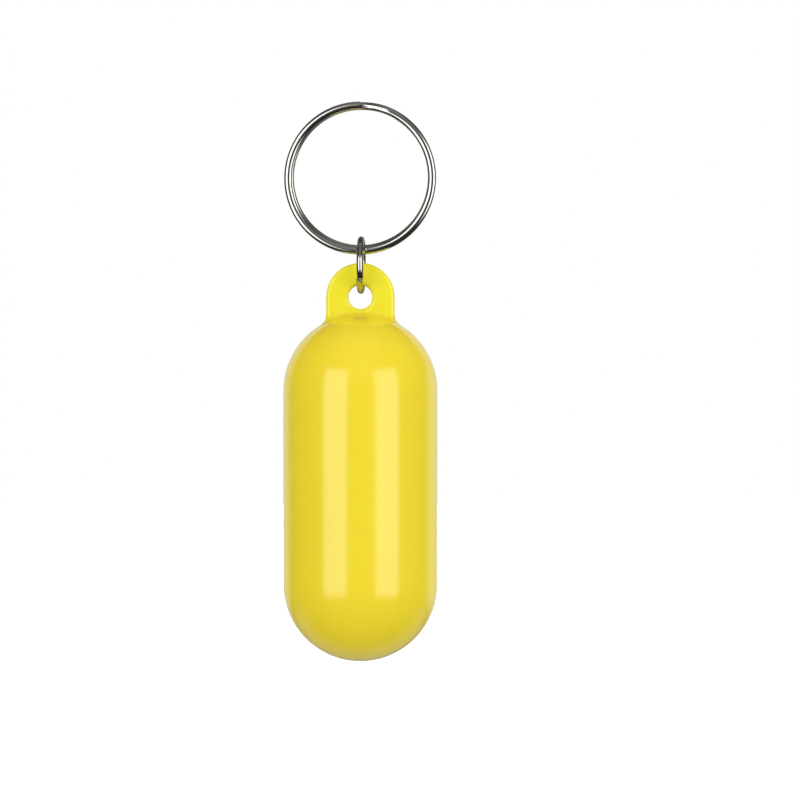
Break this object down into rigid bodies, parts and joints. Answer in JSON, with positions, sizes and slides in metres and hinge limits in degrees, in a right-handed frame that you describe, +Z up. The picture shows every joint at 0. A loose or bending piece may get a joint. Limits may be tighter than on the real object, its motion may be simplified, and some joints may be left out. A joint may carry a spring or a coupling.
{
  "type": "floating keychain",
  "caption": "Yellow capsule float with an eyelet tab, hung by a small jump ring from a wound split ring that takes keys.",
  "frame": {"origin": "hang point: the inside of the top of the split ring, in the middle of its thickness", "axes": "+Z up along the hanging chain, +Y through the tab's hole away from the viewer, +X to the right"},
  "size_m": [0.0252, 0.025, 0.0914],
  "materials": {
    "yellow_plastic": "glossy as moulded",
    "nickel_plated_wire": "bright nickel plating"
  },
  "bodies": {
    "split_ring": {"split_ring": "nickel_plated_wire"},
    "jump_ring": {"jump_ring": "nickel_plated_wire"},
    "float": {"float_body": "yellow_plastic"}
  },
  "joints": [
    {"name": "jump_ring_swing", "type": "hinge", "parent": "split_ring", "child": "jump_ring", "pos_m": [0, 0, -0.02321], "axis": [0.9934, -0.1149, 0], "range_deg": [-90, 90]},
    {"name": "float_swing", "type": "hinge", "parent": "jump_ring", "child": "float", "pos_m": [0, 0, -0.02951], "axis": [0, 1, 0], "range_deg": [-65, 65]}
  ]
}
